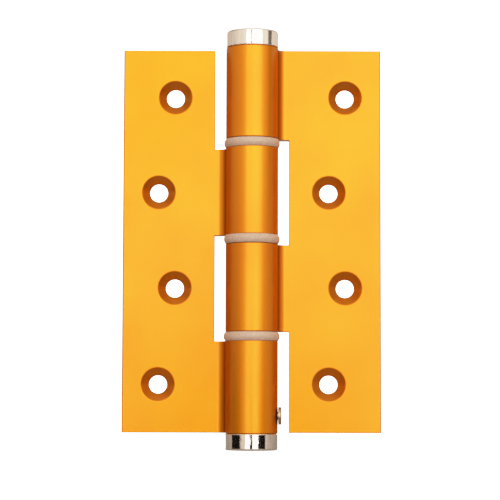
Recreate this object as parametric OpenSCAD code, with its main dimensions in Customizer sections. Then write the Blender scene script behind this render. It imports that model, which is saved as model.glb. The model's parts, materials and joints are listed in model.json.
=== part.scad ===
// Spring hinge with two interleaved extruded leaves, opened flat. All sizes are in millimetres.
// The origin is on the pin axis at mid height. +Z runs up the pin, the door leaf reaches to +X, the
// frame leaf to -X, and the countersunk front faces of both leaves look towards -Y.

/* [Leaves] */
// Height of the leaves, which is also the length of the row of knuckles
leaf_height = 150; // [124:1:220]
// Reach of a leaf from the pin axis to its outer edge
leaf_reach = 50.5; // [42:0.5:80]
// Thickness of the flat of a leaf
leaf_thickness = 4.2; // [3.5:0.1:5.5]
// Distance from the pin axis back to the front face of a leaf
leaf_setback = 3.4; // [2.5:0.1:4]
// Rounding of the two long outer edges of a leaf
leaf_edge_round = 0.6; // [0.2:0.1:1]
// Fillet between the barrel and the front face of a leaf
front_fillet = 3.2; // [1:0.1:4]
// Fillet between the barrel and the back face of a leaf
back_fillet = 1.5; // [0.6:0.1:1.8]
// Free gap between a knuckle and the notch of the other leaf beside it
notch_gap = 4.25; // [3:0.05:6]

/* [Screw holes] */
// Number of screw holes in a leaf
screw_count = 4; // [2:2:6]
// Distance from the end of a leaf to the first screw hole
screw_end_margin = 18.75; // [8:0.25:24]
// Distance from the outer edge of a leaf to the outer column of holes
screw_edge_margin = 14; // [8:0.5:16]
// Sideways step between the outer and the inner column of holes
screw_zigzag = 6.4; // [0:0.1:7]
// Through hole for a screw
screw_hole_diameter = 7; // [5:0.1:8]
// Widest diameter of the ninety degree countersink
countersink_diameter = 13.2; // [9:0.1:13.4]

/* [Barrel] */
// Outside diameter of the knuckles
barrel_diameter = 20.5; // [17:0.1:26]
// Wall between the outside of a knuckle and its bore
barrel_wall = 2.25; // [1.5:0.05:3]
// Length of each of the two middle knuckles
mid_knuckle_length = 34; // [22:0.5:42]
// Lead-in chamfer at both ends of each knuckle bore
bore_chamfer = 0.4; // [0.1:0.1:0.8]

/* [Bearing rings] */
// Thickness of the flange that shows between two knuckles
ring_thickness = 3.45; // [2:0.05:5]
// How far the crowned rim of a flange stands out from the barrel
ring_proud = 0.65; // [0.2:0.05:1.2]
// Length of the collar on each side of the flange
collar_length = 8; // [4:0.5:9.5]
// Wall of the collar between the knuckle bore and the axle tube
collar_wall = 0.8; // [0.6:0.05:1.2]

/* [Caps and adjuster] */
// Height of the head of the top cap and of the adjuster
cap_height = 6.7; // [4:0.1:10]
// Rounding of the outer rim of a head
cap_round = 0.9; // [0.2:0.1:1.5]
// Small undercut chamfer where a head meets its knuckle
cap_seam = 0.45; // [0.1:0.05:0.6]
// Length of the top cap that is pressed into its knuckle
cap_shank_length = 8; // [6:0.5:12]
// Length of the adjuster that turns in its knuckle
adjuster_shank_length = 13.5; // [11:0.5:14]
// Length of the spigots that enter the axle tube and hold the spring legs
spigot_length = 12; // [8:0.5:14]
// Width across the flats of the hexagon socket in the adjuster
socket_flats = 6; // [4:0.5:8]
// Depth of the hexagon socket
socket_depth = 9; // [5:0.5:10]

/* [Pins] */
// Diameter of the shank of the lock pin
lock_pin_diameter = 3; // [2:0.1:4]
// Diameter of the head of the lock pin
lock_pin_head_diameter = 7; // [5:0.1:9]
// Thickness of the head of the lock pin
lock_pin_head_height = 1.2; // [1:0.1:3]
// Rounding of the rim of that head
lock_pin_head_round = 0.4; // [0.1:0.1:0.5]
// Space between the barrel and the underside of that head
lock_pin_head_gap = 0.2; // [0.2:0.05:1]
// Angle of the lock pin from the plane of the leaves towards the front
lock_pin_angle = 3; // [0:1:45]
// Height of the lock pin above the lower end of its knuckle
lock_pin_rise = 6.7; // [4:0.1:8]
// Number of lock holes round the adjuster
lock_hole_count = 8; // [4:1:8]
// Depth of each lock hole
lock_hole_depth = 2.9; // [2:0.1:3.2]
// Diameter of the slotted spring pin that holds the top cap
cap_pin_diameter = 3; // [2:0.1:4]
// Wall of that pin
cap_pin_wall = 0.55; // [0.3:0.05:0.8]
// Width of the slot along that pin
cap_pin_slot = 0.7; // [0.3:0.1:1]
// Length of that pin
cap_pin_length = 8; // [5:0.5:9]

/* [Spring and axle] */
// Wall of the axle tube
tube_wall = 0.9; // [0.6:0.05:1.2]
// Diameter of the spring wire
wire_diameter = 2.6; // [1.5:0.1:3]
// Length of the straight leg at each end of the spring
spring_leg_length = 8; // [4:0.5:10]
// Radius of the bend between the coil and each leg
spring_bend_radius = 3; // [2.5:0.1:5]

/* [Clearances] */
// Radial clearance of a piece that turns or slides in another
run_gap = 0.05; // [0.03:0.01:0.1]
// Radial allowance of a piece that is pressed into another
press_gap = 0.02; // [0:0.01:0.02]
// End play between a bearing ring and the knuckle that turns on it
end_play = 0.15; // [0.05:0.05:0.3]
// Clearance between the coil and the axle tube
coil_gap = 0.2; // [0.1:0.05:0.5]
// Clearance between neighbouring turns of the relaxed coil
turn_gap = 0.1; // [0.05:0.05:0.5]
// Clearance at the blind end of a hole or of the tube
bottom_gap = 0.3; // [0.1:0.1:1]

/* [Hidden] */

$fn = 96;
// Overrun of a cutter past the face that it opens
over = 1;

gold = [0.93, 0.60, 0.14];
nylon = [0.80, 0.74, 0.64];
nickel = [0.82, 0.80, 0.78];
steel = [0.62, 0.62, 0.64];
wire_steel = [0.35, 0.35, 0.37];

half_height = leaf_height / 2;
leaf_back = leaf_setback + leaf_thickness;

barrel_r = barrel_diameter / 2;
bore_r = barrel_r - barrel_wall;
notch_reach = barrel_r + notch_gap;
ring_gap = ring_thickness + end_play;
end_knuckle_length = (leaf_height - 2 * mid_knuckle_length - 3 * ring_gap) / 2;

// Levels of the knuckles of the door leaf; the frame leaf has them mirrored about mid height
end_knuckle_z = half_height - end_knuckle_length;
mid_knuckle_z = ring_gap / 2;

screw_pitch = (leaf_height - 2 * screw_end_margin) / (screw_count - 1);
outer_column = leaf_reach - screw_edge_margin;
inner_column = outer_column - screw_zigzag;
screw_hole_r = screw_hole_diameter / 2;
countersink_r = countersink_diameter / 2;

collar_inner_r = bore_r - press_gap - collar_wall;
tube_r = collar_inner_r - run_gap;
tube_bore_r = tube_r - tube_wall;
tube_top = half_height - cap_shank_length;
tube_bottom = -half_height + adjuster_shank_length + bottom_gap;

cap_pin_r = cap_pin_diameter / 2;
cap_pin_z = half_height - cap_shank_length / 2;
cap_pin_outer = barrel_r - bottom_gap / 2;

lock_pin_r = lock_pin_diameter / 2;
lock_pin_z = -half_height + lock_pin_rise;
lock_pin_tip = bore_r - run_gap - lock_hole_depth + bottom_gap;
lock_pin_head_seat = barrel_r + lock_pin_head_gap;

wire_r = wire_diameter / 2;
wire_sides = 8;
wire_steps_per_turn = 12;
wire_steps_per_bend = 6;
coil_r = tube_bore_r - coil_gap - wire_r;
coil_circumference = 2 * PI * coil_r;
upper_spigot_end = half_height - cap_shank_length - spigot_length;
lower_spigot_end = -half_height + adjuster_shank_length + spigot_length;
coil_room = upper_spigot_end - lower_spigot_end - 2 * bottom_gap - 2 * spring_bend_radius;
turn_count = floor(coil_room / (wire_diameter + turn_gap));
coil_slope = atan(coil_room / (turn_count * coil_circumference));
// Run round the coil of one bend, as a length and as an angle
bend_run = spring_bend_radius * (1 - sin(coil_slope));
bend_rise = spring_bend_radius * cos(coil_slope);
bend_turn = 360 * bend_run / coil_circumference;
coil_bottom = lower_spigot_end + bottom_gap + bend_rise;
coil_rise = upper_spigot_end - bottom_gap - bend_rise - coil_bottom;
spring_turn = 2 * bend_turn + 360 * turn_count;

// Centre of the fillet between the barrel and one face of the leaf. side is -1 in front, 1 behind.
function fillet_centre(face, side, radius) =
    let (y = face + side * radius) [sqrt(pow(barrel_r + radius, 2) - pow(y, 2)), y];

// Point where a fillet runs into the barrel
function fillet_touch(centre, radius) = centre * barrel_r / (barrel_r + radius);

// Web that joins the flat to the barrel with a tangent arc on each side
module web_section() {
    front = fillet_centre(leaf_setback, -1, front_fillet);
    back = fillet_centre(leaf_back, 1, back_fillet);
    middle = (leaf_setback + leaf_back) / 2;
    difference() {
        polygon([
            [0, 0],
            fillet_touch(front, front_fillet),
            front,
            [front.x, middle],
            [back.x, middle],
            back,
            fillet_touch(back, back_fillet)
        ]);
        translate(front) circle(front_fillet);
        translate(back) circle(back_fillet);
    }
}

// Flat of the leaf, from the pin axis to its rounded outer edge
module flat_section() {
    inner_length = leaf_reach - leaf_edge_round;
    translate([0, leaf_setback]) square([inner_length, leaf_thickness]);
    translate([0, leaf_setback + leaf_edge_round])
        square([leaf_reach, leaf_thickness - 2 * leaf_edge_round]);
    for (y = [leaf_setback + leaf_edge_round, leaf_back - leaf_edge_round])
        translate([inner_length, y]) circle(leaf_edge_round);
}

// Section of the extrusion that both leaves are cut from
module leaf_section() {
    circle(barrel_r);
    flat_section();
    web_section();
}

// Cuts the extrusion back to the flat between two levels, to let the other leaf's knuckle in
module notch_cut(low, high) {
    translate([-barrel_r - over, -barrel_r - over, low])
        cube([notch_reach + barrel_r + over, barrel_diameter + 2 * over, high - low]);
}

// Bore of one knuckle with a lead-in at both ends
module knuckle_bore(low, high) {
    wide = bore_r + bore_chamfer;
    translate([0, 0, low - over]) cylinder(h = high - low + 2 * over, r = bore_r);
    translate([0, 0, low]) cylinder(h = bore_chamfer, r1 = wide, r2 = bore_r);
    translate([0, 0, high - bore_chamfer]) cylinder(h = bore_chamfer, r1 = bore_r, r2 = wide);
}

// Countersunk hole along Y, wide at the front face
module screw_hole() {
    depth = countersink_r - screw_hole_r;
    rotate([-90, 0, 0]) {
        translate([0, 0, leaf_setback - over])
            cylinder(h = leaf_thickness + 2 * over, r = screw_hole_r);
        translate([0, 0, leaf_setback - over])
            cylinder(h = depth + over, r1 = countersink_r + over, r2 = screw_hole_r);
    }
}

// One leaf, as the door leaf lies: end knuckle at the top, middle knuckle below mid height
module leaf() {
    difference() {
        translate([0, 0, -half_height]) linear_extrude(leaf_height) leaf_section();
        notch_cut(-mid_knuckle_z, end_knuckle_z);
        notch_cut(-half_height - over, -mid_knuckle_z - mid_knuckle_length);
        knuckle_bore(end_knuckle_z, half_height);
        knuckle_bore(-mid_knuckle_z - mid_knuckle_length, -mid_knuckle_z);
        for (i = [0 : screw_count - 1]) {
            column = i % 2 == 0 ? inner_column : outer_column;
            translate([column, 0, -half_height + screw_end_margin + i * screw_pitch]) screw_hole();
        }
    }
}

// Hole through the barrel wall, along +X, for a cross pin
module wall_hole(radius) {
    rotate([0, 90, 0]) translate([0, 0, bore_r - over]) cylinder(h = barrel_wall + 2 * over, r = radius);
}

module door_leaf() {
    color(gold) difference() {
        leaf();
        translate([0, 0, cap_pin_z]) rotate([0, 0, 90]) wall_hole(cap_pin_r + press_gap);
    }
}

module frame_leaf() {
    color(gold) difference() {
        rotate([0, 180, 0]) leaf();
        translate([0, 0, lock_pin_z]) rotate([0, 0, -lock_pin_angle]) wall_hole(lock_pin_r + run_gap);
    }
}

// Nylon ring with a crowned flange and a collar on each side. The flange rests on the knuckle below,
// in which the lower collar is pressed; the upper collar turns in the knuckle above.
module bearing_ring() {
    half = ring_thickness / 2;
    crown_r = (pow(half, 2) + pow(ring_proud, 2)) / (2 * ring_proud);
    crown_x = barrel_r + ring_proud - crown_r;
    color(nylon) rotate_extrude() {
        translate([collar_inner_r, 0]) square([crown_x - collar_inner_r, ring_thickness]);
        intersection() {
            translate([crown_x, half]) circle(crown_r);
            translate([crown_x, 0]) square([crown_r, ring_thickness]);
        }
        translate([collar_inner_r, -collar_length])
            square([bore_r - press_gap - collar_inner_r, collar_length + half]);
        translate([collar_inner_r, half])
            square([bore_r - run_gap - collar_inner_r, half + collar_length]);
    }
}

module upper_bearing_ring() {
    translate([0, 0, mid_knuckle_z + mid_knuckle_length]) bearing_ring();
}

// This one hangs from the knuckle above, because the knuckle below it belongs to the door leaf
module middle_bearing_ring() {
    translate([0, 0, mid_knuckle_z]) rotate([180, 0, 0]) bearing_ring();
}

module lower_bearing_ring() {
    translate([0, 0, -end_knuckle_z]) bearing_ring();
}

module axle_tube() {
    color(steel) translate([0, 0, tube_bottom]) difference() {
        cylinder(h = tube_top - tube_bottom, r = tube_r);
        translate([0, 0, -over]) cylinder(h = tube_top - tube_bottom + 2 * over, r = tube_bore_r);
    }
}

// A head with its rim rounded, a shank below it and a spigot below that, along -Z from the seam
module plug(shank_r, shank_length, spigot_r) {
    rotate_extrude() {
        difference() {
            union() {
                square([barrel_r - cap_round, cap_height]);
                square([barrel_r, cap_height - cap_round]);
                translate([barrel_r - cap_round, cap_height - cap_round]) circle(cap_round);
            }
            polygon([[barrel_r - cap_seam, 0], [barrel_r + over, -over], [barrel_r + over, cap_seam + over]]);
        }
        translate([0, -shank_length]) square([shank_r, shank_length + cap_height / 2]);
        translate([0, -shank_length - spigot_length]) square([spigot_r, spigot_length + over]);
    }
}

// Groove along a spigot that a spring leg slides into, open to the outside
module leg_groove(low, high) {
    groove_r = wire_r + coil_gap;
    translate([coil_r, 0, low]) cylinder(h = high - low, r = groove_r);
    translate([coil_r, -groove_r, low]) cube([tube_r, 2 * groove_r, high - low]);
}

module top_cap() {
    color(nickel) difference() {
        translate([0, 0, half_height]) plug(bore_r - press_gap, cap_shank_length, tube_bore_r - press_gap);
        rotate([0, 0, spring_turn])
            leg_groove(upper_spigot_end - over, upper_spigot_end + spring_leg_length + bottom_gap);
        translate([0, cap_pin_outer - cap_pin_length - bottom_gap, cap_pin_z]) rotate([-90, 0, 0])
            cylinder(h = barrel_r, r = cap_pin_r + press_gap);
    }
}

// Rolled pin with a slot along its length, driven in from the back and just under flush
module top_cap_pin() {
    color(steel) translate([0, cap_pin_outer, cap_pin_z]) rotate([90, 0, 0]) difference() {
        cylinder(h = cap_pin_length, r = cap_pin_r);
        translate([0, 0, -over]) cylinder(h = cap_pin_length + 2 * over, r = cap_pin_r - cap_pin_wall);
        translate([-cap_pin_slot / 2, 0, -over])
            cube([cap_pin_slot, cap_pin_diameter, cap_pin_length + 2 * over]);
    }
}

module tension_adjuster() {
    color(nickel) difference() {
        translate([0, 0, -half_height]) rotate([180, 0, 0])
            plug(bore_r - run_gap, adjuster_shank_length, tube_bore_r - run_gap);
        leg_groove(lower_spigot_end - spring_leg_length - bottom_gap, lower_spigot_end + over);
        translate([0, 0, -half_height - cap_height - over])
            cylinder(h = socket_depth + over, d = socket_flats / cos(30), $fn = 6);
        for (i = [0 : lock_hole_count - 1])
            rotate([0, 0, i * 360 / lock_hole_count - lock_pin_angle])
                translate([bore_r - run_gap - lock_hole_depth, 0, lock_pin_z]) rotate([0, 90, 0])
                    cylinder(h = lock_hole_depth + over, r = lock_pin_r + run_gap);
    }
}

// Round-headed pin, drawn along +X from its tip and then turned to its place
module lock_pin() {
    tip_chamfer = lock_pin_r / 4;
    head_r = lock_pin_head_diameter / 2;
    head_top = lock_pin_head_seat + lock_pin_head_height;
    color(nickel) translate([0, 0, lock_pin_z]) rotate([0, 0, -lock_pin_angle]) rotate([0, 90, 0])
        rotate_extrude() {
            polygon([
                [0, lock_pin_tip],
                [lock_pin_r - tip_chamfer, lock_pin_tip],
                [lock_pin_r, lock_pin_tip + tip_chamfer],
                [lock_pin_r, lock_pin_head_seat + lock_pin_head_height / 2],
                [0, lock_pin_head_seat + lock_pin_head_height / 2]
            ]);
            translate([0, lock_pin_head_seat]) square([head_r, lock_pin_head_height - lock_pin_head_round]);
            translate([0, lock_pin_head_seat]) square([head_r - lock_pin_head_round, lock_pin_head_height]);
            translate([head_r - lock_pin_head_round, head_top - lock_pin_head_round])
                circle(lock_pin_head_round);
        }
}

// The wire runs on a cylinder. A point on it is [angle round the coil, height, slope of the wire].
function lower_bend(t) = [
    bend_turn * (1 - cos(t)) / (1 - sin(coil_slope)),
    coil_bottom - bend_rise + spring_bend_radius * sin(t),
    90 - t
];
function upper_bend(t) = [
    spring_turn - bend_turn + bend_turn * (sin(coil_slope + t) - sin(coil_slope)) / (1 - sin(coil_slope)),
    coil_bottom + coil_rise + spring_bend_radius * (cos(coil_slope) - cos(coil_slope + t)),
    coil_slope + t
];
function wire_path() = [
    [0, lower_spigot_end - spring_leg_length, 90],
    for (i = [0 : wire_steps_per_bend - 1]) lower_bend(i * (90 - coil_slope) / wire_steps_per_bend),
    for (i = [0 : turn_count * wire_steps_per_turn])
        let (share = i / (turn_count * wire_steps_per_turn))
            [bend_turn + 360 * turn_count * share, coil_bottom + coil_rise * share, coil_slope],
    for (i = [1 : wire_steps_per_bend]) upper_bend(i * (90 - coil_slope) / wire_steps_per_bend),
    [spring_turn, upper_spigot_end + spring_leg_length, 90]
];

// Corner k of the wire's section at a path point, set out along the radius and across the wire
function wire_corner(p, k) =
    let (
        u = 360 * k / wire_sides,
        r = coil_r + wire_r * cos(u),
        across = wire_r * sin(u),
        along = across * sin(p[2]),
        up = across * cos(p[2])
    )
    [r * cos(p[0]) + along * sin(p[0]), r * sin(p[0]) - along * cos(p[0]), p[1] + up];

// The wire wound right-handed, with a straight leg along the axis at each end
module torsion_spring() {
    path = wire_path();
    last = len(path) - 1;
    points = [for (p = path) for (k = [0 : wire_sides - 1]) wire_corner(p, k)];
    sides = [
        for (i = [0 : last - 1]) for (k = [0 : wire_sides - 1])
            let (a = i * wire_sides + k, b = i * wire_sides + (k + 1) % wire_sides)
                each [[a, b, b + wire_sides], [a, b + wire_sides, a + wire_sides]]
    ];
    ends = [
        [for (k = [wire_sides - 1 : -1 : 0]) k],
        [for (k = [0 : wire_sides - 1]) last * wire_sides + k]
    ];
    color(wire_steel) polyhedron(points = points, faces = concat(sides, ends));
}

frame_leaf();
door_leaf();
upper_bearing_ring();
middle_bearing_ring();
lower_bearing_ring();
axle_tube();
torsion_spring();
top_cap();
top_cap_pin();
tension_adjuster();
lock_pin();
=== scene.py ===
# %% [markdown]
# A spring hinge in gold aluminium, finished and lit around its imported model.
# The hinge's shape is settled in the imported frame, in metres, with the pin axis on Z
# and the countersunk faces towards -Y. This script gives every piece its surface,
# softens the machined edges, and sets the camera, the lamps and the studio around it.

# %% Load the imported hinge
import json
import math

import bpy
from mathutils import Matrix, Vector


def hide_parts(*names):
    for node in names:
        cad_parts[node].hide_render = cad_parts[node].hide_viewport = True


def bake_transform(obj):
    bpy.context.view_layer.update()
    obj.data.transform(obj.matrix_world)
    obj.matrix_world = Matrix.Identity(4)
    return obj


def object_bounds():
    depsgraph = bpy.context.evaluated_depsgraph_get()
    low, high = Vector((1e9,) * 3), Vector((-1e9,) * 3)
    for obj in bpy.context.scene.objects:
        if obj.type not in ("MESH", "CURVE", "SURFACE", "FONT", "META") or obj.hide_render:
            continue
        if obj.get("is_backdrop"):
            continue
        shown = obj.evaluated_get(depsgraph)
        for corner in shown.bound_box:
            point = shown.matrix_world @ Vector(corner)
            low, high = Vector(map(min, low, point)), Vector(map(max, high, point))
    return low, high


MM = 0.001
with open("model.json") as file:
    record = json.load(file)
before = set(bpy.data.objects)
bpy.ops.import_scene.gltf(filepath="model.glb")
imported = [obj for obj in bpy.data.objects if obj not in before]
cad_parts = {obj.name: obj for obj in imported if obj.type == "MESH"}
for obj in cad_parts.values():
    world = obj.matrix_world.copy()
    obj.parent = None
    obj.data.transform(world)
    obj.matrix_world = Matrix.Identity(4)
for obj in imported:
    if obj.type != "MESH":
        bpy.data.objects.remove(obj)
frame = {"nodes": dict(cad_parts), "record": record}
hinge = frame["nodes"]
cad_box = [list(corner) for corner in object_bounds()]
print("pieces:", ", ".join(sorted(hinge)))
print("box of the hinge in mm:", [[round(c / MM, 2) for c in corner] for corner in cad_box])

# %% [markdown]
# The photograph looks at the opened hinge almost squarely, from a little below its
# middle and with a long lens. A camera could be aimed with a constraint, but the tilt
# and the roll are only a few degrees, so they are written down and the matrix is built
# from them. A camera looks straight down until it is turned up by a right angle. The
# focal length follows from the width of the leaves in the picture.

# %% Place the camera
CAMERA_PLACE = Vector((-0.0007, -0.760, -0.062))
RIGHT_ANGLE = math.radians(90)
CAMERA_UP_TILT = math.radians(4.363)
CAMERA_ROLL = math.radians(0.157)
LENS_MM, SENSOR_MM = 141.0, 36.0
NEAREST_SEEN = 10 * MM

camera = bpy.data.objects.new("camera", bpy.data.cameras.new("camera"))
bpy.context.scene.collection.objects.link(camera)
camera.data.sensor_width = SENSOR_MM
camera.data.lens = LENS_MM
camera.data.clip_start = NEAREST_SEEN
camera.matrix_world = (
    Matrix.Translation(CAMERA_PLACE)
    @ Matrix.Rotation(RIGHT_ANGLE + CAMERA_UP_TILT, 4, "X")
    @ Matrix.Rotation(CAMERA_ROLL, 4, "Z")
)
bpy.context.scene.camera = camera
print("camera sees", round(math.degrees(camera.data.angle), 2), "degrees across")

# %% [markdown]
# The photograph is bright, and its red channel is close to full over the whole of the
# leaves, so its strongest tones are bent over softly. The plain display transform clips
# them hard. A curve over the picture, straight in the dark and middle tones and bent
# over above them, gives the same soft end without touching the hinge's own colours.

# %% Set how bright tones are shown
TONE_WHITE = 2.4
TONE_STRAIGHT = 0.58
TONE_POINTS = [
    (0.0, 0.0), (0.3, 0.3), (TONE_STRAIGHT, TONE_STRAIGHT), (0.80, 0.735), (1.06, 0.85), (1.38, 0.935),
    (1.69, 0.970), (TONE_WHITE, 1.0),
]
ALL_CHANNELS = 3

display = bpy.context.scene.view_settings
display.view_transform = "Standard"
display.use_curve_mapping = True
curves = display.curve_mapping
curves.white_level = (TONE_WHITE,) * 3
curves.extend = "HORIZONTAL"
tone = curves.curves[ALL_CHANNELS]
tone.points[0].location = TONE_POINTS[0]
tone.points[1].location = (1.0, TONE_POINTS[-1][1])
for light, shown in TONE_POINTS[1:-1]:
    tone.points.new(light / TONE_WHITE, shown)
curves.update()
print("tones are straight up to", TONE_STRAIGHT, "and full at", TONE_WHITE)

# %% [markdown]
# Shader trees are built many times below, so short helpers come first. One adds a node
# with its settings, its plain values and its links. A socket is named, or given by its
# number where a node has several of one name: on a Mix node 0 is the share, 2 and 3 are
# numbers and 6 and 7 are colours. Two more helpers add the nodes that are needed most.
# A noise node's values nearly all lie between 0.3 and 0.7, so a value is spread from
# there unless the call says otherwise. The last two helpers start a node group with
# named sockets, and place it. A group is built once and placed in every finish that
# needs it, each time with its own values.

# %% Helpers for shader trees
NOISE_LOW, NOISE_HIGH = 0.3, 0.7


def add(tree, kind, settings=None, **sockets):
    """One node: settings are its options, sockets its values or links, by name or as _0 by number."""
    node = tree.nodes.new("ShaderNode" + kind)
    for name, value in (settings or {}).items():
        setattr(node, name, value)
    for name, value in sockets.items():
        socket = node.inputs[int(name[1:]) if name[0] == "_" else name.replace("_", " ")]
        if isinstance(value, bpy.types.NodeSocket):
            tree.links.new(value, socket)
        else:
            socket.default_value = value
    return node


def math_node(tree, operation, *values):
    """The result of one sum on values or links."""
    sockets = {f"_{number}": value for number, value in enumerate(values)}
    return add(tree, "Math", {"operation": operation}, **sockets).outputs[0]


def spread(tree, value, low, high, start=NOISE_LOW, end=NOISE_HIGH):
    """A value, stretched from start..end to low..high and kept within them."""
    return add(tree, "MapRange", {"clamp": True}, Value=value, From_Min=start, From_Max=end, To_Min=low,
               To_Max=high).outputs[0]


def new_group(name, inputs, outputs):
    """A group with named inputs, each with its starting value, and named outputs, all plain numbers."""
    group = bpy.data.node_groups.new(name, "ShaderNodeTree")
    for label, start in inputs.items():
        socket = group.interface.new_socket(label, in_out="INPUT", socket_type="NodeSocketFloat")
        socket.default_value = start
    for label in outputs:
        group.interface.new_socket(label, in_out="OUTPUT", socket_type="NodeSocketFloat")
    return group, group.nodes.new("NodeGroupInput").outputs, group.nodes.new("NodeGroupOutput").inputs


def place(tree, group, **sockets):
    """The outputs of a group that is placed in a tree with its own values."""
    return add(tree, "Group", {"node_tree": group}, **sockets).outputs


print("a noise value is spread from", NOISE_LOW, "to", NOISE_HIGH)

# %% [markdown]
# The aluminium was pushed through a die, so faint lines run along the pin axis, and it
# was etched before anodising, which leaves a fine even grain. Both are noise in the
# piece's own coordinates: the lines are the same noise squeezed along one axis. Because
# caps, tube and pins show drawn or polished lines too, the group takes the squeeze. A
# third, coarse noise gives the duller and brighter patches that every finish has.

# %% Group: grain and drawn lines
PATCHES_PER_METRE = 38.0

grain, given, result = new_group(
    "grain and drawn lines",
    {"Grain size": 0.3 * MM, "Line width": 0.4 * MM, "Line length": 40 * MM, "Lines share": 0.5},
    ["Height", "Lines", "Patches"],
)
on_piece = add(grain, "TexCoord").outputs["Object"]
grains_per_metre = math_node(grain, "DIVIDE", 1.0, given["Grain size"])
fine = add(grain, "TexNoise", Vector=on_piece, Scale=grains_per_metre, Detail=2.0, Roughness=0.6).outputs[0]
across = math_node(grain, "DIVIDE", 1.0, given["Line width"])
along = math_node(grain, "DIVIDE", 1.0, given["Line length"])
squeeze = add(grain, "CombineXYZ", X=across, Y=across, Z=along).outputs[0]
squeezed = add(grain, "VectorMath", {"operation": "MULTIPLY"}, _0=on_piece, _1=squeeze).outputs[0]
lines = add(grain, "TexNoise", Vector=squeezed, Scale=1.0, Detail=1.5, Roughness=0.5).outputs[0]
coarse = add(grain, "TexNoise", Vector=on_piece, Scale=PATCHES_PER_METRE, Detail=2.0, Roughness=0.5)
height = add(grain, "Mix", {"data_type": "FLOAT"}, _0=given["Lines share"], _2=fine, _3=lines).outputs[0]
for label, value in {"Height": height, "Lines": lines, "Patches": coarse.outputs[0]}.items():
    grain.links.new(value, result[label])
print("group", grain.name, "has", len(grain.nodes), "nodes")

# %% [markdown]
# The countersinks are cut after the extruding, and the cutter leaves fine rings round
# each screw hole. Rings a fifth of a millimetre apart are too fine for a mesh, so they
# are a bump. On a cone the depth alone numbers the rings, so bands in Y are enough, which
# wobble a little as a cutter does. The mask keeps them to where the surface lies behind
# the leaf's front face and leans halfway between that face and the hole.

# %% Group: tool marks in the countersinks
CONE_LEAN, LEAN_ROOM = 0.707, 0.06
WOBBLES_PER_METRE, WOBBLE_WIDTH = 180.0, 3.0

# the same mask also tells the gold finish where to paint shade into the countersinks
cut_marks, given, result = new_group(
    "tool marks", {"Pitch": 0.22 * MM, "Front": 3.4 * MM}, ["Height", "Mask"])
coordinates = add(cut_marks, "TexCoord").outputs
depth = add(cut_marks, "SeparateXYZ", Vector=coordinates["Object"]).outputs["Y"]
facing = add(cut_marks, "SeparateXYZ", Vector=coordinates["Normal"]).outputs["Y"]
noise = add(cut_marks, "TexNoise", Vector=coordinates["Object"], Scale=WOBBLES_PER_METRE, Detail=1.0)
wobble = math_node(cut_marks, "MULTIPLY", noise.outputs[0], WOBBLE_WIDTH)
turns = math_node(cut_marks, "DIVIDE", math_node(cut_marks, "MULTIPLY", depth, 2 * math.pi), given["Pitch"])
bands = math_node(cut_marks, "SINE", math_node(cut_marks, "ADD", turns, wobble))
leans = math_node(cut_marks, "COMPARE", math_node(cut_marks, "ABSOLUTE", facing), CONE_LEAN, LEAN_ROOM)
behind = math_node(cut_marks, "GREATER_THAN", depth, given["Front"])
cut_marks.links.new(bands, result["Height"])
cut_marks.links.new(math_node(cut_marks, "MULTIPLY", leans, behind), result["Mask"])
print("group", cut_marks.name, "has", len(cut_marks.nodes), "nodes")

# %% [markdown]
# Edges are where handling shows first: anodising thins there and plating shines. The
# Bevel node looks a little way round each point, and where the rounded normal leaves
# the true one there is an edge. That mask doesn't depend on how the mesh was cut into
# triangles, which the pointiness of a vertex would. Noise leaves gaps in the wear.

# %% Group: worn edges
EDGE_STARTS, EDGE_FULL = 0.995, 0.86
GAPS_PER_METRE = 420.0

worn_edges, given, result = new_group("worn edges", {"Width": 0.35 * MM, "Unevenness": 0.5}, ["Mask"])
normal = add(worn_edges, "NewGeometry").outputs["Normal"]
rounded = add(worn_edges, "Bevel", {"samples": 4}, Radius=given["Width"]).outputs[0]
alike = add(worn_edges, "VectorMath", {"operation": "DOT_PRODUCT"}, _0=normal, _1=rounded).outputs["Value"]
edge = spread(worn_edges, alike, low=0.0, high=1.0, start=EDGE_STARTS, end=EDGE_FULL)
on_piece = add(worn_edges, "TexCoord").outputs["Object"]
noise = add(worn_edges, "TexNoise", Vector=on_piece, Scale=GAPS_PER_METRE, Detail=2.0)
least = math_node(worn_edges, "SUBTRACT", 1.0, given["Unevenness"])
gaps = spread(worn_edges, noise.outputs[0], low=least, high=1.0, start=0.35, end=0.6)
worn_edges.links.new(math_node(worn_edges, "MULTIPLY", edge, gaps), result["Mask"])
print("group", worn_edges.name, "has", len(worn_edges.nodes), "nodes")

# %% [markdown]
# Every finish is a Principled BSDF of its own, with the groups feeding its colour,
# roughness and normal. One helper starts the material and hands back its tree and its
# shader, one turns heights into the shader's normal, and one blends two colours.

# %% Helpers for finishes
SHADER = "Principled BSDF"


def new_finish(name, **shader_values):
    """A material with one Principled BSDF, whose fixed values are set on its own sockets."""
    material = bpy.data.materials.new(name)
    material.use_nodes = True
    tree = material.node_tree
    shader = tree.nodes[SHADER]
    for socket, value in shader_values.items():
        shader.inputs[socket.replace("_", " ")].default_value = value
    return material, tree, shader


def bump(tree, height, depth_mm, below=None):
    """A normal from a height between 0 and 1 that stands depth_mm high, over another bump if given."""
    node = add(tree, "Bump", Height=height, Strength=1.0, Distance=depth_mm * MM)
    if below is not None:
        tree.links.new(below, node.inputs["Normal"])
    return node.outputs[0]


def blend_colours(tree, share, low, high):
    """A colour between low and high by a mask."""
    return add(tree, "Mix", {"data_type": "RGBA"}, _0=share, _6=low, _7=high).outputs[2]


print("every finish starts from a", SHADER)
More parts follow.
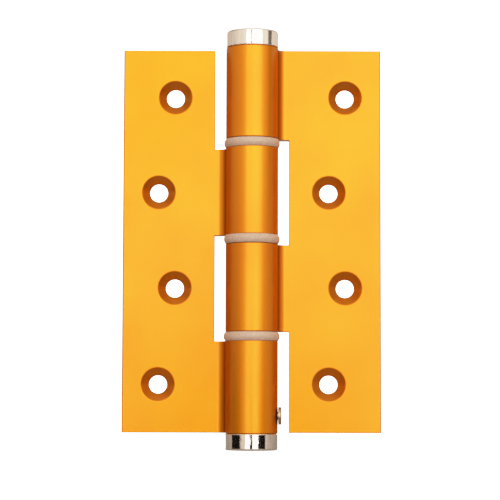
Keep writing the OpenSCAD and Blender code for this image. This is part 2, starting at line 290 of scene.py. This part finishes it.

# %% [markdown]
# The leaves are aluminium with a dyed oxide skin: the metal gives the mirror, the dye
# its orange gold, and the etched surface spreads the gloss wide. A dyed plastic would be
# simpler, but it can't throw the leaves' own gold onto the barrel beside them, as metal
# does. The clear top of the skin is a weak, satin coat. At a grazing look the light goes
# a long way through the dye, so the metal's edge is tinted darker, in red most of all.
# The countersinks are coloured darker than the faces: painted shade for the hollow of each screw hole.

# %% Finish: gold anodised aluminium
GOLD = (0.780, 0.253, 0.0035, 1.0)
GOLD_DEEP = (0.780, 0.233, 0.0025, 1.0)
GOLD_EDGE = (0.900, 0.400, 0.040, 1.0)
# painted shade: the darker gold that fills the countersinks
GOLD_HOLE_SHADE = (0.540, 0.200, 0.0120, 1.0)
GOLD_GRAZING = (0.06, 0.48, 0.75, 1.0)
EDGE_WEAR = 0.25

gold, tree, shader = new_finish(
    "gold anodised aluminium", Metallic=1.0, Specular_Tint=GOLD_GRAZING, Coat_Weight=0.26,
    Coat_Roughness=0.20, Coat_IOR=1.6)
skin = place(tree, grain, Grain_size=0.22 * MM, Line_width=0.35 * MM, Line_length=60 * MM, Lines_share=0.35)
marks_and_shade = place(tree, cut_marks, Pitch=0.22 * MM, Front=3.6 * MM)
edges = place(tree, worn_edges, Width=0.28 * MM, Unevenness=0.6)
dye_and_shade = blend_colours(tree, spread(tree, skin["Patches"], low=0.0, high=1.0), GOLD, GOLD_DEEP)
dye_and_shade = blend_colours(tree, spread(tree, skin["Lines"], low=0.0, high=0.25), dye_and_shade, GOLD_DEEP)
# painted shade: the countersinks get a darker gold to stand for the shade in their hollows
dye_and_shade = blend_colours(tree, marks_and_shade["Mask"], dye_and_shade, GOLD_HOLE_SHADE)
dye_and_shade = blend_colours(tree, math_node(tree, "MULTIPLY", edges["Mask"], EDGE_WEAR), dye_and_shade, GOLD_EDGE)
tree.links.new(dye_and_shade, shader.inputs["Base Color"])
gloss = spread(tree, skin["Patches"], low=0.37, high=0.41)
gloss = math_node(tree, "ADD", gloss, spread(tree, skin["Height"], low=-0.03, high=0.03))
tree.links.new(gloss, shader.inputs["Roughness"])
rings = bump(tree, math_node(tree, "MULTIPLY", marks_and_shade["Height"], marks_and_shade["Mask"]), depth_mm=0.006)
tree.links.new(bump(tree, skin["Height"], depth_mm=0.016, below=rings), shader.inputs["Normal"])
print("finish", gold.name)

# %% [markdown]
# The plug at each end of the barrel is turned and nickel plated, then polished, so it
# mirrors the studio. Polishing leaves faint streaks along the axis and a few cloudy
# patches, and the rim stays a little brighter.

# %% Finish: bright nickel plate
NICKEL = (0.780, 0.735, 0.680, 1.0)
NICKEL_CLOUD = (0.650, 0.590, 0.520, 1.0)
NICKEL_EDGE = (0.840, 0.800, 0.750, 1.0)

nickel, tree, shader = new_finish("bright nickel plate", Metallic=1.0)
skin = place(tree, grain, Grain_size=1.4 * MM, Line_width=0.7 * MM, Line_length=9 * MM, Lines_share=0.4)
edges = place(tree, worn_edges, Width=0.3 * MM, Unevenness=0.3)
streaks = spread(tree, skin["Lines"], low=0.0, high=1.0, start=0.45, end=0.8)
plate = blend_colours(tree, streaks, NICKEL, NICKEL_CLOUD)
plate = blend_colours(tree, edges["Mask"], plate, NICKEL_EDGE)
tree.links.new(plate, shader.inputs["Base Color"])
tree.links.new(spread(tree, skin["Patches"], low=0.05, high=0.11), shader.inputs["Roughness"])
tree.links.new(bump(tree, skin["Height"], depth_mm=0.060), shader.inputs["Normal"])
print("finish", nickel.name)

# %% [markdown]
# The bearing rings are plain nylon, milky and a little see-through, so light spreads
# inside them and softens their beads. Fine dark and light specks run through the
# plastic, and the outer skin is a little glossy from the mould.

# %% Finish: natural nylon
NYLON = (0.480, 0.350, 0.265, 1.0)
NYLON_SPECK = (0.250, 0.170, 0.120, 1.0)
NYLON_PALE = (0.620, 0.490, 0.400, 1.0)
SPECKS_PER_METRE = 1400.0

nylon, tree, shader = new_finish(
    "natural nylon", Subsurface_Weight=0.12, Subsurface_Radius=(1.0, 0.65, 0.4), Subsurface_Scale=1.2 * MM,
    Coat_Weight=0.15, Coat_Roughness=0.25)
skin = place(tree, grain, Grain_size=0.55 * MM, Line_width=2 * MM, Line_length=2 * MM, Lines_share=0.0)
on_piece = add(tree, "TexCoord").outputs["Object"]
specks = add(tree, "TexVoronoi", {"feature": "F1"}, Vector=on_piece, Scale=SPECKS_PER_METRE)
pale_share = spread(tree, skin["Height"], low=0.0, high=1.0, start=0.42, end=0.75)
speck_share = spread(tree, specks.outputs["Distance"], low=0.55, high=0.0, start=0.08, end=0.26)
milk = blend_colours(tree, pale_share, NYLON, NYLON_PALE)
milk = blend_colours(tree, speck_share, milk, NYLON_SPECK)
tree.links.new(milk, shader.inputs["Base Color"])
tree.links.new(spread(tree, skin["Patches"], low=0.40, high=0.52), shader.inputs["Roughness"])
tree.links.new(bump(tree, skin["Height"], depth_mm=0.02), shader.inputs["Normal"])
print("finish", nylon.name)

# %% [markdown]
# Four steel parts sit in or on the barrel. The tube is drawn bright, with long lines
# along it. The spring wire is darker from its heat treatment and oiled. The two pins
# are dull plated. One maker of steel finishes serves all, with its own numbers for each.

# %% Finishes: steels
EDGE_SHINE = 1.25


def steel_finish(name, base, shade, roughness, line_width_mm, line_length_mm, depth_mm, oil):
    """A steel whose colour and gloss vary along drawn lines."""
    material, tree, shader = new_finish(name, Metallic=1.0, Coat_Weight=oil, Coat_Roughness=0.12)
    skin = place(tree, grain, Grain_size=0.25 * MM, Line_width=line_width_mm * MM,
                 Line_length=line_length_mm * MM, Lines_share=0.7)
    edges = place(tree, worn_edges, Width=0.2 * MM, Unevenness=0.5)
    metal = blend_colours(tree, spread(tree, skin["Patches"], low=0.0, high=0.8), base, shade)
    metal = blend_colours(tree, spread(tree, skin["Lines"], low=0.0, high=0.5), metal, shade)
    bright = tuple(min(1.0, c * EDGE_SHINE) for c in base[:3]) + (1.0,)
    metal = blend_colours(tree, edges["Mask"], metal, bright)
    gloss = spread(tree, skin["Patches"], low=roughness - 0.04, high=roughness + 0.05)
    tree.links.new(metal, shader.inputs["Base Color"])
    tree.links.new(gloss, shader.inputs["Roughness"])
    tree.links.new(bump(tree, skin["Height"], depth_mm), shader.inputs["Normal"])
    print("finish", name)
    return material


drawn_tube = steel_finish(
    "bright drawn steel", base=(0.56, 0.56, 0.58, 1.0), shade=(0.44, 0.44, 0.46, 1.0), roughness=0.24,
    line_width_mm=0.15, line_length_mm=30, depth_mm=0.006, oil=0.0)
oiled_wire = steel_finish(
    "oiled spring steel", base=(0.24, 0.23, 0.23, 1.0), shade=(0.13, 0.12, 0.13, 1.0), roughness=0.34,
    line_width_mm=0.3, line_length_mm=6, depth_mm=0.01, oil=0.6)
dull_plate = steel_finish(
    "dull nickel plate", base=(0.44, 0.35, 0.25, 1.0), shade=(0.30, 0.22, 0.15, 1.0), roughness=0.30,
    line_width_mm=0.25, line_length_mm=3, depth_mm=0.008, oil=0.0)

# %% [markdown]
# Each piece of the hinge names a material slot in its record. The pieces keep their
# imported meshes, and only the material in their slot is exchanged for the finish.

# %% Dress the pieces
FINISHES = {
    "anodised_leaf": gold, "nylon_ring": nylon, "steel_tube": drawn_tube, "spring_steel": oiled_wire,
    "plated_cap": nickel, "steel_pin": dull_plate,
}
for part in frame["record"]["subparts"]:
    finish = FINISHES[part["material_slot"]]
    for slot in hinge[part["node"]].material_slots:
        slot.material = finish
    print(part["node"], "is", finish.name)

# %% [markdown]
# The spring joins the two sides of the hinge: one straight leg sits in each plug, and folding the
# leaves lets the coil unwind by half a turn, which closes the door. A rigid piece would leave its
# upper leg behind, to cut through the top plug. Here a plain copy of the packed coil, with its
# placing baked into its mesh, stands for the spring, and the imported coil is hidden; nothing in
# this script bends the copy.

closing_spring = bpy.data.objects.new("closing_spring", hinge["torsion_spring"].data.copy())
bpy.context.scene.collection.objects.link(closing_spring)
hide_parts("torsion_spring")
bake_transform(closing_spring)

# %% [markdown]
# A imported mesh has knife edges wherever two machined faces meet. Real edges are broken
# by a file or a tumbler, and catch a thin line of light. The bevel modifier does that
# without touching the mesh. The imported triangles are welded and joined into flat
# faces first, because a bevel runs badly across slivers. A round wire has no edges to
# break, so the spring is left as it is.

# %% Break the sharp edges
EDGE_BREAK_MM = {
    "frame_leaf": 0.25, "door_leaf": 0.25, "axle_tube": 0.1, "top_cap": 0.1, "tension_adjuster": 0.1,
    "upper_bearing_ring": 0.08, "middle_bearing_ring": 0.08, "lower_bearing_ring": 0.08,
    "top_cap_pin": 0.06, "lock_pin": 0.06,
}
SAME_POINT = 0.001 * MM
SAME_PLANE = math.radians(0.6)
SHARP_FROM = math.radians(32)
FACE_WEIGHT = 60


def break_edges(piece, width_mm):
    """Welds, joins flat faces, and bevels what is sharper than a gentle curve."""
    weld = piece.modifiers.new("weld", "WELD")
    weld.merge_threshold = SAME_POINT
    flat = piece.modifiers.new("flat faces", "DECIMATE")
    flat.decimate_type = "DISSOLVE"
    flat.angle_limit = SAME_PLANE
    edge = piece.modifiers.new("broken edges", "BEVEL")
    edge.width = width_mm * MM
    edge.segments = 2
    edge.limit_method = "ANGLE"
    edge.angle_limit = SHARP_FROM
    edge.harden_normals = False
    edge.use_clamp_overlap = False
    shading = piece.modifiers.new("even shading", "WEIGHTED_NORMAL")
    shading.weight = FACE_WEIGHT
    shading.keep_sharp = False


for name, width_mm in EDGE_BREAK_MM.items():
    break_edges(hinge[name], width_mm)
shown = bpy.context.evaluated_depsgraph_get()
for name in sorted(hinge):
    print(name, len(hinge[name].evaluated_get(shown).data.polygons), "faces")

# %% [markdown]
# The studio is a large soft lamp in front, wider to the right, as the bright band on
# the barrel shows. It could be one textured panel, but a plain area lamp is enough, as
# the satin skin blurs its rim. A weaker lamp behind lights the flat backs, which the
# photograph doesn't show. The lamps stay out of the camera's sight.

# %% Soft lamps
LAMP_COLOUR = (1.0, 0.985, 0.97)


def soft_lamp(name, centre, aim, width, height, radiance):
    """An area lamp that shines evenly with the given radiance."""
    lamp = bpy.data.lights.new(name, "AREA")
    lamp.shape = "RECTANGLE"
    lamp.size = width
    lamp.size_y = height
    lamp.energy = radiance * width * height * math.pi
    lamp.color = LAMP_COLOUR
    holder = bpy.data.objects.new(name, lamp)
    bpy.context.scene.collection.objects.link(holder)
    holder.location = centre
    holder.rotation_mode = "QUATERNION"
    holder.rotation_quaternion = (Vector(aim) - Vector(centre)).to_track_quat("-Z", "Y")
    holder.visible_camera = False
    print("lamp", name, round(lamp.energy, 2), "W")


soft_lamp("front_lamp", centre=(0.255, -1.10, 0.05), aim=(0.255, 0.0, 0.05), width=1.60, height=1.60,
          radiance=1.78)
soft_lamp("back_lamp", centre=(-0.15, 1.20, 0.35), aim=(-0.05, 0.0, 0.0), width=1.30, height=1.10,
          radiance=1.15)

# %% [markdown]
# Round the hinge the studio is plain: white where the camera looks, and dim and warm
# where the metal looks. The world shader tells the two apart by the kind of ray. More
# lamps could fill the sides, but the barrel's soft flanks show a glow that fades evenly
# from front to back, and that is a smooth ramp in the surroundings. The upper plug
# mirrors a paler band than the lower one, and its rounded rim mirrors the light
# overhead, so the surroundings are shaded by height too, and a little light is added
# from the upper right. Each ramp runs over a span of the direction's X, Y or Z.

# %% The surroundings
WHITE_SEEN = 3.0
FRONT_GLOW, SIDE_GLOW, BACK_GLOW = 0.85, 0.42, 0.30
TOP_GLOW, RIGHT_GLOW = 0.8, 0.22
BAND_GLOW, ABOVE_BAND = 0.40, -0.2
FRONT_TO_SIDE, SIDE_TO_BACK = (-0.85, 0.2), (0.2, 0.9)
SIDE_TO_TOP, SIDE_TO_RIGHT, RIGHT_RISE = (0.5, 0.85), (0.3, 0.9), (-0.05, 0.15)
BAND_RISE, BAND_FALL = (-0.10, 0.18), (0.26, 0.45)
AROUND_COLOUR = (1.0, 0.84, 0.71, 1.0)


def ramp(tree, value, span, low, high):
    """A smooth step from low to high over a span of a value."""
    return add(tree, "MapRange", {"interpolation_type": "SMOOTHSTEP"}, Value=value, From_Min=span[0],
               From_Max=span[1], To_Min=low, To_Max=high).outputs[0]


world = bpy.data.worlds.new("studio")
bpy.context.scene.world = world
world.use_nodes = True
tree = world.node_tree
tree.nodes.clear()
direction = add(tree, "SeparateXYZ", Vector=add(tree, "TexCoord").outputs["Generated"]).outputs
glow = ramp(tree, direction["Y"], FRONT_TO_SIDE, FRONT_GLOW, SIDE_GLOW)
behind = ramp(tree, direction["Y"], SIDE_TO_BACK, 0.0, BACK_GLOW - SIDE_GLOW)
overhead = ramp(tree, direction["Z"], SIDE_TO_TOP, 0.0, TOP_GLOW)
right = math_node(tree, "MULTIPLY", ramp(tree, direction["X"], SIDE_TO_RIGHT, 0.0, RIGHT_GLOW),
                  ramp(tree, direction["Z"], RIGHT_RISE, 0.0, 1.0))
band = math_node(tree, "MULTIPLY", ramp(tree, direction["Z"], BAND_RISE, 0.0, BAND_GLOW),
                 ramp(tree, direction["Z"], BAND_FALL, 1.0, ABOVE_BAND))
for more in (behind, overhead, right, band):
    glow = math_node(tree, "ADD", glow, more)
dim = add(tree, "Background", Color=AROUND_COLOUR, Strength=glow).outputs[0]
white = add(tree, "Background", Color=(1.0, 1.0, 1.0, 1.0), Strength=WHITE_SEEN).outputs[0]
by_ray = add(tree, "MixShader", _0=add(tree, "LightPath").outputs["Is Camera Ray"], _1=dim, _2=white)
tree.links.new(by_ray.outputs[0], add(tree, "OutputWorld").inputs[0])
print("surroundings:", FRONT_GLOW, "in front,", SIDE_GLOW, "at the sides,", BACK_GLOW, "behind")

# %% [markdown]
# The hinge has no ground in the photograph, only white. A pale floor lies a good way
# below it, low enough to let the lamp reach the hinge from below too. It is grey white
# close by, so that it takes a soft shadow, and fades into the white further out, so that
# no rim shows from any side. Its underside is clear, so a look from below isn't blocked.

# %% The floor
FLOOR_Z = -0.280
FLOOR_SIZE = 5.0
FLOOR_COLOUR = (0.36, 0.35, 0.34, 1.0)
FLOOR_GLOW = 0.75
FADE_TO_WHITE = (0.16, 0.45)

bpy.ops.mesh.primitive_grid_add(x_subdivisions=2, y_subdivisions=2, size=FLOOR_SIZE, location=(0, 0, FLOOR_Z))
floor = bpy.context.object
floor.name = "floor"
pale, tree, shader = new_finish("pale floor", Base_Color=FLOOR_COLOUR, Roughness=0.9,
                                Emission_Color=(1.0, 1.0, 1.0, 1.0))
on_floor = add(tree, "TexCoord").outputs["Object"]
away = add(tree, "VectorMath", {"operation": "LENGTH"}, _0=on_floor).outputs["Value"]
to_camera = math_node(tree, "MULTIPLY", ramp(tree, away, FADE_TO_WHITE, FLOOR_GLOW, WHITE_SEEN),
                      add(tree, "LightPath").outputs["Is Camera Ray"])
tree.links.new(to_camera, shader.inputs["Emission Strength"])
one_sided = add(tree, "MixShader", _0=add(tree, "NewGeometry").outputs["Backfacing"], _1=shader.outputs[0],
                _2=add(tree, "BsdfTransparent").outputs[0])
tree.links.new(one_sided.outputs[0], tree.nodes["Material Output"].inputs["Surface"])
floor.data.materials.append(pale)
floor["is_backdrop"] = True
print("floor", round((cad_box[0][2] - FLOOR_Z) / MM, 1), "mm below the hinge")

# %% [markdown]
# Polished plugs need something dark to mirror, or they look like grey plastic. A printed
# backdrop could be mirrored, but dull sheets of one shade each are enough: black for the
# lower plug, grey and pale for the upper one, whose band in the photograph is lighter.
# A cloudy noise keeps each sheet from being quite even.

# %% Finishes: cards
CLOUDS_PER_METRE = 9.0
DARKER = (0.8, 0.8, 0.8)
LIGHTER = (1.2, 1.17, 1.12)


def card_finish(name, shade):
    """A dull sheet, dark or pale."""
    material, tree, shader = new_finish(name, Roughness=0.95, Specular_IOR_Level=0.1)
    on_card = add(tree, "TexCoord").outputs["Object"]
    cloud = add(tree, "TexNoise", Vector=on_card, Scale=CLOUDS_PER_METRE).outputs[0]
    low, high = (tuple(shade * c for c in tint) + (1.0,) for tint in (DARKER, LIGHTER))
    tree.links.new(blend_colours(tree, cloud, low, high), shader.inputs["Base Color"])
    print("finish", name)
    return material


black_card = card_finish("black card", 0.004)
grey_card = card_finish("grey card", 0.06)
pale_card = card_finish("pale card", 0.26)

# %% [markdown]
# The cards stand round the hinge, out of the camera's sight. A card is placed by the
# directions between which a plug mirrors it, counted in degrees from the camera's side
# towards the right, so a small function turns two directions and two heights into a
# standing sheet. A sheet may lean sideways by a few degrees, and then the streak that it
# leaves on the plug isn't quite upright, as in the photograph.

# %% Cards for the plugs to mirror
CARD_DISTANCE = 0.85
LOW_BOTTOM, LOW_TOP = -0.17, -0.03
CARDS = [
    ("left_low_card", -93, -48, LOW_BOTTOM, LOW_TOP, black_card, 0.0),
    ("right_low_card", 30, 62, LOW_BOTTOM, LOW_TOP, black_card, 3.0),
    ("middle_slit", -6.0, 5.0, LOW_BOTTOM, LOW_TOP, black_card, -1.5),
    ("upper_middle_slit", -6.5, -2.5, 0.13, 0.34, grey_card, 1.5),
    ("upper_right_card", 75, 94, 0.12, 0.40, pale_card, 2.0),
]


def stand_card(name, from_deg, to_deg, bottom, top, material, lean):
    """A sheet between two directions round the pin axis, from bottom to top, leaning sideways."""
    foot = [(from_deg - lean, bottom), (to_deg - lean, bottom)]
    head = [(to_deg + lean, top), (from_deg + lean, top)]
    corners = []
    for deg, z in foot + head:
        turn = math.radians(deg)
        corners.append((CARD_DISTANCE * math.sin(turn), -CARD_DISTANCE * math.cos(turn), z))
    mesh = bpy.data.meshes.new(name)
    mesh.from_pydata(corners, [], [(0, 1, 2, 3)])
    mesh.materials.append(material)
    card = bpy.data.objects.new(name, mesh)
    bpy.context.scene.collection.objects.link(card)
    card.visible_camera = False
    card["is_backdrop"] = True


for card_values in CARDS:
    stand_card(*card_values)
print(len(CARDS), "cards stand", CARD_DISTANCE, "m from the pin axis")

# %% Measure and finish
visual_box = [list(corner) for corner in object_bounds()]
growth = [abs(a - b) for cad, visual in zip(cad_box, visual_box) for a, b in zip(cad, visual)]
print("largest growth of the box in mm:", round(max(growth) / MM, 3))
